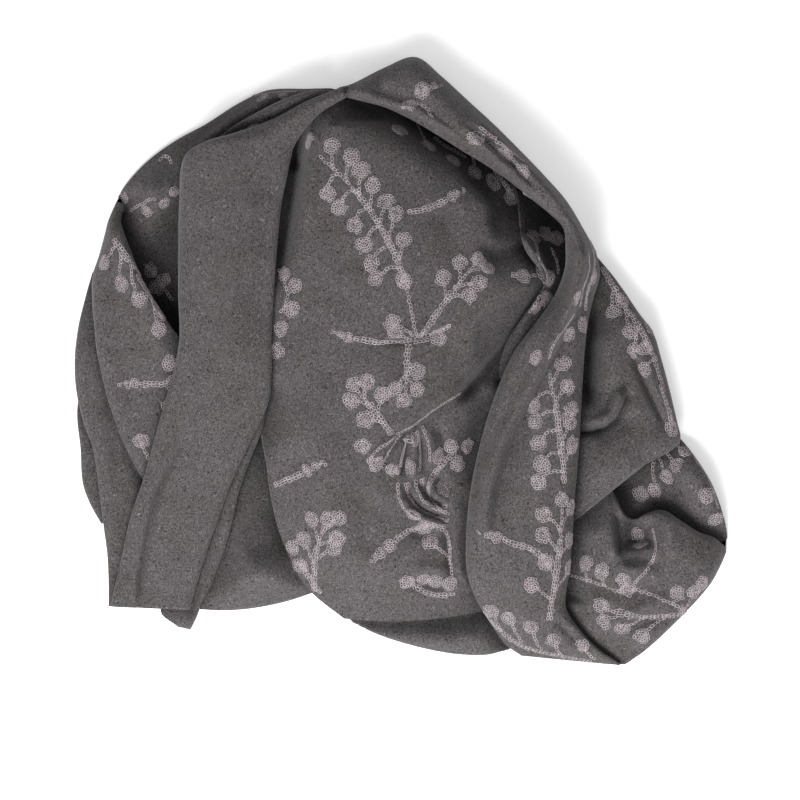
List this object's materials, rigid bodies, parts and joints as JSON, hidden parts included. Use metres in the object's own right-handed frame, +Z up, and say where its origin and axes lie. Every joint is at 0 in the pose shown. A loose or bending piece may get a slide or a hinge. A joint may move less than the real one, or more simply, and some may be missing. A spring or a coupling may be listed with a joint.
{
  "type": "embroidered wool scarf",
  "caption": "Grey wool scarf lying in a loose heap, its felted cloth folded, looped and turned under, embroidered with trailing berry sprigs.",
  "frame": {"origin": "on the table under the middle of the heap's bounding box", "axes": "+Z up from the table, +Y away from the viewer towards the top of the heap where the scarf is looped over, +X to the viewer's right, where the right column runs down"},
  "size_m": [0.6044, 0.5631, 0.0761],
  "materials": {
    "wool": "brushed felted wool melange in mid grey, matt, with a short soft nap",
    "wool_inside": "the same wool in the hidden layers inside the heap, matt"
  },
  "bodies": {
    "root": {"front_tail": "wool", "loop_band": "wool", "inner_twist": "wool", "left_shoulder": "wool", "top_left_inner": "wool", "tail_underlay": "wool", "centre_panel": "wool", "top_left_roll": "wool", "right_panel": "wool", "front_pouch": "wool", "right_lower_fold": "wool", "bottom_roll": "wool", "left_pleat": "wool", "left_outer_fold": "wool", "lower_left_flap": "wool", "folded_core": "wool_inside"}
  },
  "joints": []
}
